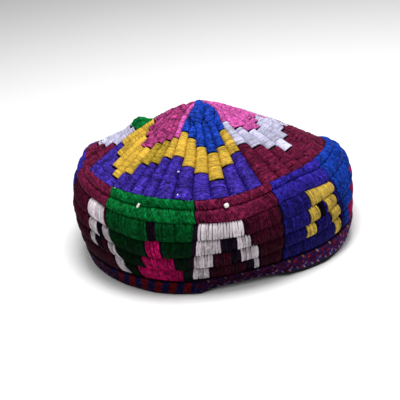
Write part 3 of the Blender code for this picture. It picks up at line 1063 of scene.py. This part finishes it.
def row_spans(panel, row):
    """The spans of one row of a panel, with the ground's own colour between the motif's."""
    spans, reached = [], 0.0
    for span in MOTIFS[panel.motif]:
        if span.row == row:
            if span.low > reached + LEAST_SPAN:
                spans.append((reached, span.low, panel.ground))
            spans.append((span.low, span.high, span.dye))
            reached = span.high
    if reached < 1.0 - LEAST_SPAN:
        spans.append((reached, 1.0, panel.ground))
    return spans


LEAN_FADE = 0.12
UPPER_SEAM, LOWER_SEAM = 0.5, 1.3
SLIM = 0.93


# How the hand lays a thread on the band, and how far the place, slant, height and wave differ
BAND_RISE, BAND_LIE, LOW_YARN = 0.5, 10.0, 0.9
ACROSS_VARIES, LEAN_VARIES, BAND_LIFT_VARIES, BAND_WAVE = 0.12, 0.3, 0.2, 0.12
# The top row's heads lie shallow against the crown, and reach no higher than this level
HEAD_DIP, TOP_LIMIT = 0.3, 1.004
BAND_SEED, BRAID_SEED, QUILT_SEED, HEM_SEED = 20, 40, 60, 80


def band_floss(side, sizes, colours):
    """Satin stitches laid over the band's cords on one side of the cap."""
    shape = ThreadShape(6, 7)
    rng = np.random.default_rng(sizes.seed + BAND_SEED + GORES.index(side))
    laid = []
    half_height = 0.5 * sizes.thread_height / MM
    for index, panel in enumerate(PANELS):
        if panel.side != side:
            continue
        for row in range(1, ROWS + 1):
            middle = ROWS - row + 0.5
            ends = panel_angles(index, np.array((0.0, 1.0)), middle)
            radius = wall(ends, row_levels(ends, middle))[0].mean()
            width = radians(ends[1] - ends[0]) * radius
            inset = 0.5 * sizes.colour_gap / MM / width
            upper = row < 3
            seam_inset = inset * (UPPER_SEAM if upper else LOWER_SEAM)
            for low, high, code in row_spans(panel, row):
                start = low + (inset if low > 0 else seam_inset)
                end = high - (inset if high < 1 else seam_inset)
                light = code in LIGHT_DYES
                yarn = YARN_SHARES.get(code, UPPER_YARN if upper else LOW_YARN)
                count = max(1, round((end - start) * width / (yarn * sizes.pitch / MM)))
                hand = uneven(count, rng) * (BAND_CALM if light or upper else 1.0)
                step = (end - start) / count
                across = start + step * (np.arange(count) + 0.5 + hand[:, 0] * ACROSS_VARIES)
                lean = panel.lean if upper else panel.low_lean
                lean = lean * np.clip(np.minimum(across, 1.0 - across) / LEAN_FADE, 0.0, 1.0)
                slant = ((lean + LEAN_VARIES * hand[:, 1]) / width)[:, None]
                lift = BAND_LIFT_VARIES * hand[:, 2][:, None]
                half_width = 0.5 * yarn * sizes.thread_width / MM / width
                half_width = half_width * (SLIM if light else 1.0)
                places = across[:, None] + slant * (shape.across - 0.5)
                places = places + wobble(shape, count, rng) * BAND_WAVE / width
                places = places - shape.aside * half_width * shape.fullness
                rows = middle + (shape.across - 0.5) * ROW_OVERLAP
                angles = panel_angles(index, places, rows)
                dip = (CORD_HEIGHT + CORD_DIP) * (1.0 if light or upper else DARK_DIP)
                depths = FLOSS_SINK + dip * (1.0 - shape.arch)
                if row == 1:
                    depths = np.where(shape.along > 0.5, HEAD_DIP * depths, depths)
                depths = depths - (lift + BAND_RISE) * shape.arch
                depths = depths - shape.above * half_height * shape.fullness
                levels = np.minimum(row_levels(angles, rows), TOP_LIMIT)
                swings = hand[:, 2] + hand[:, 0] + rng.normal(size=count)
                yarn_code = "n" if code == "w" else code
                # The dye is scaled by its row's painted light and shade
                laid.append((
                    band_spots(angles, levels, depths),
                    dyed(colours, yarn_code * count, swings) * ROW_LIGHT_AND_SHADE[code][row - 1],
                    thread_lies(shape, count, sizes.thread_width, BAND_LIE, rng)))
    piece = lay_threads(f"band_floss_{side}", shape, laid, floss_material())
    return piece


BRAID_COURSES = 5
BRAID_GAP = 0.35
RIM_LENGTH = 565.0
BARS_START, BARS_END = 224.0, 260.0
# How far the braid's colours are scaled, by plan angle: darkest at the front and the left, lightest at
# the right
BRAID_ANGLES = (190.0, 224.0, 278.0, 296.0, 316.0, 380.0, 550.0)
BRAID_DARKENING = (0.30, 0.24, 0.24, 0.40, 0.75, 0.75, 0.30)


def braid_heights(angles, shares):
    """Heights at shares of the braid, which fills the strip between binding and stitches."""
    low, high = around_rim(angles, RIM_FEET), hem_tops(angles) - BRAID_GAP
    return low + (high - low) * shares


def lay_ring(name, section, place, flat_row, materials):
    """A closed ring; section gives its corners' depths and heights, and place sets them round."""
    depths, heights = np.array(section).T

    def corner_spots(columns, levels):
        levels = levels % len(section)
        return place(ring_angles(columns), depths[levels], heights[levels])

    return lay_skin(name, RING_COLUMNS, len(section), corner_spots,
                    lambda column, row: (column * FLAT_COLUMN, row * flat_row), materials)


# The tape's corners: their depth in millimetres and their share of the braid's height
BRAID_SECTION = (
    (1.4, 0.0), (0.55, 0.0), (0.25, 0.15), (0.15, 0.5), (0.25, 0.85), (0.55, 1.0), (1.4, 1.0),
)


def braid_core(materials):
    """The flat tape inside the braid."""
    def place(angles, depths, shares):
        return hem_spots(angles, braid_heights(angles, shares), depths)

    piece = lay_ring("braid_core", BRAID_SECTION, place, 1.2, materials[:1])
    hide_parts("braid_trim")
    return piece


# Floats of the braid: their lean in steps, stagger, overlap of the courses and half sizes
FLOAT_LEAN, FLOAT_STAGGER, FLOAT_OVERLAP = 0.7, 0.5, 0.075
FLOAT_WIDTH, FLOAT_DEPTH, FLOAT_BULGE, FLOAT_THICK = 0.45, 0.15, 0.45, 0.42


def braid_floats(sizes, colours):
    """Courses of slanting floats, leaning to and fro, in bars at the front and mixed elsewhere."""
    shape = ThreadShape(5, 4)
    rng = np.random.default_rng(sizes.seed + BRAID_SEED)
    count = round(RIM_LENGTH / (sizes.braid_pitch / MM))
    step = 360.0 / count
    laid = []
    for course in range(BRAID_COURSES):
        hand = uneven(count, rng)
        lean = FLOAT_LEAN * step * (1 if course % 2 else -1)
        middle = step * (np.arange(count) + FLOAT_STAGGER * (course // 2) + 0.1 * hand[:, 0])
        angles = middle[:, None] + lean * (shape.along - 0.5) - shape.aside * step * FLOAT_WIDTH
        shares = course + 1.15 * shape.along - FLOAT_OVERLAP
        heights = braid_heights(angles, shares / BRAID_COURSES) + 0.12 * hand[:, 1][:, None]
        depths = FLOAT_DEPTH - FLOAT_BULGE * shape.arch - shape.above * FLOAT_THICK
        in_front = (middle > BARS_START) & (middle < BARS_END)
        chart = BRAID_CHART[course]
        codes = [BRAID_BARS[index // BAR_FLOATS % 2] if front
                 else BRAID_YARNS[chart[index % len(chart)]]
                 for index, front in enumerate(in_front)]
        # The braid's colours are darkened by plan angle, most at the front
        darkening = around_rim(middle, BRAID_DARKENING, BRAID_ANGLES)[:, None]
        laid.append((hem_spots(angles, heights, depths),
                     dyed(colours, codes, hand[:, 2] * 1.5) * darkening,
                     thread_lies(shape, count, 0.0013, 2.5, rng)))
    piece = lay_threads("braid_floats", shape, laid, braid_material())
    return piece


# The folded strip's corners: depth and height in millimetres, where its outer side is this tall
BINDING_TOP = 2.0
BINDING_SECTION = (
    (0.42, 0.55), (0.42, 1.1), (0.42, 1.9), (0.75, 2.15), (1.35, 2.1), (1.40, 1.5), (1.60, 1.02),
    (2.8, 1.0), (3.9, 1.02), (4.1, 1.4), (4.1, 4.0), (4.1, 6.6), (4.35, 7.0), (4.8, 7.0),
    (5.1, 6.7), (5.1, 4.0), (5.1, 1.4), (5.1, 0.6), (4.75, 0.12), (3.9, 0.0), (2.7, 0.0),
    (1.4, 0.0), (0.75, 0.12),
)

def edge_binding(colours):
    """The black strip folded under the hem."""
    def place(angles, depths, heights):
        ripple = 0.10 * np.sin(np.radians(angles * 47)) + 0.08 * np.sin(np.radians(angles * 31))
        outside = (depths < 1.5) & (heights > 0.5)
        tall = heights * around_rim(angles, RIM_FEET) / BINDING_TOP + ripple
        return hem_spots(angles, np.where(outside, tall, heights), depths)

    material = cloth_material("binding_cotton", colours.binding, 1.9, 0.8,
                              Specular_IOR_Level=0.12, Sheen_Weight=0.05)
    piece = lay_ring("binding_strip", BINDING_SECTION, place, 0.8, (material,))
    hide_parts("edge_binding")
    return piece


# Running stitches: where they start by turns and end, as runs, how much of the pitch shows, and
# how high and thick they lie
QUILT_STARTS, QUILT_END, QUILT_SHARE = (0.30, 0.14), 0.93, 0.6
QUILT_RISE, QUILT_THICK = 0.22, 0.2
WALL_ROUND = 540.0


def quilting(sizes, colours):
    """Running stitches that show on the lining along every channel border."""
    shape = ThreadShape(4, 3)
    rng = np.random.default_rng(sizes.seed + QUILT_SEED)
    pitch = sizes.quilt_pitch / MM
    points, total = [], 0
    for wedge in WEDGES:
        channels = len(wedge.outer)
        for border in range(channels):
            middles = np.arange(QUILT_STARTS[border % 2], QUILT_END, pitch / REACH)
            middles = middles + rng.normal(0.0, 0.0025, len(middles))
            runs = middles[:, None] + (shape.along - 0.5) * QUILT_SHARE * pitch / REACH
            shares = (border + 0.04) / channels + shape.aside * 0.0035 / np.clip(runs, 0.1, 1)
            depths = LINING_DEPTH + QUILT_RISE * shape.arch - shape.above * QUILT_THICK
            points.append(wedge_spots(wedge, np.clip(shares, 0.0, 1.0), runs, depths))
            total += len(middles)
    for row in range(1, ROWS):
        count = round(WALL_ROUND / pitch)
        middles = 360.0 * np.arange(count) / count + rng.normal(0.0, 0.15, count)
        angles = middles[:, None] + (shape.along - 0.5) * QUILT_SHARE * 360.0 / count
        levels = row_levels(angles, row + shape.aside * 0.02)
        depths = LINING_DEPTH + QUILT_RISE * shape.arch + shape.above * QUILT_THICK
        points.append(band_spots(angles, levels, depths))
        total += count
    tones = dyed(colours, ["lilac"] * total, rng.normal(0.0, 0.8, total)) * 0.55
    lies = thread_lies(shape, total, 0.0005, 2.6, rng)
    piece = lay_threads("quilting_stitches", shape, [(np.concatenate(points), tones, lies)],
                        sewing_material())
    return piece


HEM_STITCHES = 150
# Slip stitches climb from the binding to the lining: start height, climb and depths
SLIP_START, SLIP_CLIMB, SLIP_DEPTH, SLIP_STEP = 5.9, 2.2, 4.75, 0.75


def hem_stitches(sizes, colours):
    """Slip stitches that hold the binding's inner edge to the lining."""
    shape = ThreadShape(4, 4)
    rng = np.random.default_rng(sizes.seed + HEM_SEED)
    count = HEM_STITCHES
    middles = 360.0 * np.arange(count) / count + rng.normal(0.0, 0.12, count)
    angles = middles[:, None] + (shape.along - 0.5) * 0.9 + shape.aside * 0.14
    heights = SLIP_START + SLIP_CLIMB * shape.along
    depths = SLIP_DEPTH - SLIP_STEP * np.clip(shape.along * 2.2 - 1.2, 0, 1) + 0.42 * shape.arch
    depths = depths + shape.above * 0.2
    tones = dyed(colours, ["ground"] * count, rng.normal(0.0, 0.8, count)) * 3.0
    lies = thread_lies(shape, count, 0.0004, 2.4, rng)
    piece = lay_threads("hem_stitches", shape, [(hem_spots(angles, heights, depths), tones, lies)],
                        sewing_material())
    return piece


# Sewn beads: plan angle with row of the band or run of the crown, width and length in
# millimetres, and the turn of the hole from level in degrees
Bead = namedtuple("Bead", "where angle place width length turn")
BEADS = (
    Bead("band", 274.4, 5.1, 3.0, 2.8, 20),
    Bead("band", 239.3, 5.0, 1.6, 2.9, 68),
    Bead("crown", 252.6, 0.765, 1.1, 1.3, 30),
    Bead("crown", 254.7, 0.965, 1.2, 1.3, 60),
    Bead("band", 225.4, 5.97, 1.0, 1.1, 0),
)


# A bead's hole as a share of its width, how far it sinks into the floss, and its facets
BEAD_HOLE, BEAD_SUNK, BEAD_SIDES, BEAD_STEPS = 0.16, 0.6, 12, 20
# More than the beads have corners
KEY_BASE = 10000


def bead_material():
    """Milky glass with a pearly coat."""
    material, tree, shader = new_material(
        "milk_glass", Coat_Weight=0.6, Coat_Roughness=0.08, Specular_IOR_Level=0.6,
        Subsurface_Weight=0.15)
    cloud_over(tree, shader, 900.0, 3.0, (0.80, 0.66, 0.58, 1.0), (0.95, 0.93, 0.90, 1.0),
               (0.12, 0.3))
    return material


def face_key(face):
    """A number of the face's own, from its three lowest corners."""
    first, second, third = sorted(corner.index for corner in face.verts)[:3]
    return (first * KEY_BASE + second) * KEY_BASE + third


def sewn_beads(sizes):
    """Glass beads with their holes lying along the cloth."""
    mesh = bmesh.new()
    scale = sizes.bead_width / MM / BEADS[0].width
    for bead in BEADS:
        angle, place = np.array((bead.angle,)), np.array((bead.place,))
        if bead.where == "band":
            levels = row_levels(angle, place)
            low, high = (Vector(band_spots(angle, levels, depth)[0]) for depth in (0.0, -1.0))
        else:
            low, high = (Vector(crown_spots(angle, place, depth, 0.0)[0]) for depth in (0.0, -1.0))
        out = (high - low).normalized()
        aside = Vector((0.0, 0.0, 1.0)).cross(out).normalized()
        up = out.cross(aside)
        half, hole = 0.5 * bead.width * MM * scale, BEAD_HOLE * bead.width * MM * scale
        thick, tall = 0.5 * (half - hole), 0.5 * bead.length * MM * scale
        ring = bmesh.ops.create_circle(mesh, segments=BEAD_SIDES, radius=1.0)["verts"]
        edges = list(dict.fromkeys(edge for corner in ring for edge in corner.link_edges))
        for corner in ring:
            corner.co = Vector((hole + thick + corner.co.x * thick, 0.0, corner.co.y * tall))
        spun = bmesh.ops.spin(mesh, geom=ring + edges, cent=(0, 0, 0), axis=(0, 0, 1),
                              angle=2 * pi, steps=BEAD_STEPS, use_merge=True)
        corners = set(ring) | {item for item in spun["geom_last"]
                               if isinstance(item, bmesh.types.BMVert)}
        grown = set(corners)
        while corners:
            corners = {edge.other_vert(corner) for corner in corners
                       for edge in corner.link_edges} - grown
            grown |= corners
        frame_turn = Matrix((aside, up, out)).transposed().to_4x4()
        frame_turn = Matrix.Translation(low + out * (half - BEAD_SUNK * MM)) @ frame_turn
        frame_turn = frame_turn @ Matrix.Rotation(radians(bead.turn), 4, "Z")
        frame_turn = frame_turn @ Matrix.Rotation(radians(90), 4, "Y")
        bmesh.ops.transform(mesh, matrix=frame_turn, verts=list(grown))
    bmesh.ops.remove_doubles(mesh, verts=mesh.verts, dist=SKIN_MERGE)
    bmesh.ops.recalc_face_normals(mesh, faces=mesh.faces)
    # A spin gives its faces in another order each run, so they are put in a fixed one
    mesh.verts.index_update()
    mesh.faces.sort(key=face_key)
    piece = finish_piece("sewn_beads", mesh_data("sewn_beads", mesh), (bead_material(),))
    return piece


# ---- Stage ----

CAMERA_SPOT = (-0.00062, -0.48528, 0.24271)
CAMERA_HEADING, CAMERA_PITCH, CAMERA_ROLL = -1.117, 24.633, 6.207
CAMERA_LENS = 69.536
# Lights: place and width in metres, and watts
LIGHT_AIM = (0.0, 0.0, 0.04)
SOFTBOXES = (
    ("top_softbox", (0.05, 0.0, 0.95), 0.45, 8.8),
    ("front_softbox", (-0.3, -0.9, 0.9), 0.5, 2.2),
    ("side_softbox", (0.85, -0.3, 0.55), 0.45, 1.2),
)
AIR_STRENGTH = 0.36
FLOOR_RADIUS = 6.0


def add_camera():
    """A camera at the photograph's height, distance and slight roll."""
    data = bpy.data.cameras.new("view_camera")
    data.lens = CAMERA_LENS
    data.sensor_width = 36.0
    data.clip_start = 0.01
    camera = bpy.data.objects.new("view_camera", data)
    turn = (Matrix.Rotation(radians(-CAMERA_HEADING), 4, "Z")
            @ Matrix.Rotation(radians(90.0 - CAMERA_PITCH), 4, "X")
            @ Matrix.Rotation(radians(-CAMERA_ROLL), 4, "Z"))
    camera.matrix_world = Matrix.Translation(CAMERA_SPOT) @ turn
    bpy.context.scene.collection.objects.link(camera)
    bpy.context.scene.camera = camera


def add_softbox(name, spot, aim, size, power):
    """A square soft light turned to a point."""
    data = bpy.data.lights.new(name, "AREA")
    data.shape = "SQUARE"
    data.size = size
    data.energy = power
    lamp = bpy.data.objects.new(name, data)
    lamp.location = spot
    lamp.rotation_euler = (Vector(aim) - Vector(spot)).to_track_quat("-Z", "Y").to_euler()
    bpy.context.scene.collection.objects.link(lamp)


def add_floor():
    """A wide pale floor with a faint paper grain."""
    mesh = bmesh.new()
    bmesh.ops.create_circle(mesh, cap_ends=True, segments=96, radius=FLOOR_RADIUS)
    data = mesh_data("studio_floor", mesh)
    material, tree, shader = new_material("floor_paper", Specular_IOR_Level=0.1)
    cloud_over(tree, shader, 220.0, 4.0, (0.90, 0.90, 0.90, 1.0), (0.94, 0.94, 0.94, 1.0),
               (0.8, 0.9))
    data.materials.append(material)
    floor = bpy.data.objects.new("studio_floor", data)
    bpy.context.scene.collection.objects.link(floor)


# ---- Operators ----


class CAP_OT_crown(bpy.types.Operator):
    """Quilt the four gores and lay their floss"""

    bl_idname = "cap.stitch_crown"
    bl_label = "Stitch the crown"

    def execute(self, context):
        sizes, colours = context.scene.cap_sizes, context.scene.cap_colours
        for gore in GORES:
            quilted_gore(gore, ground_and_lining(colours))
            gore_floss(gore, sizes, colours)
        return {"FINISHED"}


class CAP_OT_band(bpy.types.Operator):
    """Quilt the band and lay its floss"""

    bl_idname = "cap.stitch_band"
    bl_label = "Stitch the band"

    def execute(self, context):
        sizes, colours = context.scene.cap_sizes, context.scene.cap_colours
        quilted_band(ground_and_lining(colours))
        for side in GORES:
            band_floss(side, sizes, colours)
        return {"FINISHED"}


class CAP_OT_braid(bpy.types.Operator):
    """Weave the braid above the rim"""

    bl_idname = "cap.weave_braid"
    bl_label = "Weave the braid"

    def execute(self, context):
        sizes, colours = context.scene.cap_sizes, context.scene.cap_colours
        braid_core(ground_and_lining(colours))
        braid_floats(sizes, colours)
        return {"FINISHED"}


class CAP_OT_binding(bpy.types.Operator):
    """Fold the binding under the hem"""

    bl_idname = "cap.fold_binding"
    bl_label = "Fold the binding"

    def execute(self, context):
        edge_binding(context.scene.cap_colours)
        return {"FINISHED"}


class CAP_OT_sewing(bpy.types.Operator):
    """Sew the quilting lines, the hem and the beads"""

    bl_idname = "cap.sew_details"
    bl_label = "Sew the details"

    def execute(self, context):
        sizes, colours = context.scene.cap_sizes, context.scene.cap_colours
        quilting(sizes, colours)
        hem_stitches(sizes, colours)
        sewn_beads(sizes)
        return {"FINISHED"}


class CAP_OT_stage(bpy.types.Operator):
    """Set the floor, the lights and the camera"""

    bl_idname = "cap.set_stage"
    bl_label = "Set the stage"

    def execute(self, context):
        scene = context.scene
        add_floor()
        add_camera()
        for name, spot, size, power in SOFTBOXES:
            add_softbox(name, spot, LIGHT_AIM, size, power)
        world = bpy.data.worlds.new("studio_air")
        world.use_nodes = True
        air = world.node_tree.nodes["Background"].inputs
        air["Color"].default_value = (1.0, 1.0, 1.0, 1.0)
        air["Strength"].default_value = AIR_STRENGTH
        scene.world = world
        scene.view_settings.view_transform = "Standard"
        return {"FINISHED"}


OPERATORS = (CAP_OT_crown, CAP_OT_band, CAP_OT_braid, CAP_OT_binding, CAP_OT_sewing, CAP_OT_stage)


class CAP_PT_dressing(bpy.types.Panel):
    """The skullcap's making steps in the 3D view's sidebar"""

    bl_idname = "CAP_PT_dressing"
    bl_label = "Tubeteika"
    bl_space_type = "VIEW_3D"
    bl_region_type = "UI"
    bl_category = "Tubeteika"

    def draw(self, context):
        for step in OPERATORS:
            self.layout.operator(step.bl_idname)
        for group in (context.scene.cap_sizes, context.scene.cap_colours):
            for name in group.bl_rna.properties.keys():
                if name not in {"rna_type", "name"}:
                    self.layout.prop(group, name)


CLASSES = (CapSizes, CapColours, *OPERATORS, CAP_PT_dressing)


def register():
    """Add the classes and hang the settings on the scene."""
    for item in CLASSES:
        bpy.utils.register_class(item)
    bpy.types.Scene.cap_sizes = PointerProperty(type=CapSizes)
    bpy.types.Scene.cap_colours = PointerProperty(type=CapColours)


def unregister():
    """Take the settings and the classes away again."""
    del bpy.types.Scene.cap_colours
    del bpy.types.Scene.cap_sizes
    for item in reversed(CLASSES):
        bpy.utils.unregister_class(item)


def main():
    """Run every step in order."""
    register()
    bpy.ops.cap.stitch_crown()
    bpy.ops.cap.stitch_band()
    bpy.ops.cap.weave_braid()
    bpy.ops.cap.fold_binding()
    bpy.ops.cap.sew_details()
    bpy.ops.cap.set_stage()
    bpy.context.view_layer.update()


if __name__ == "__main__":
    main()
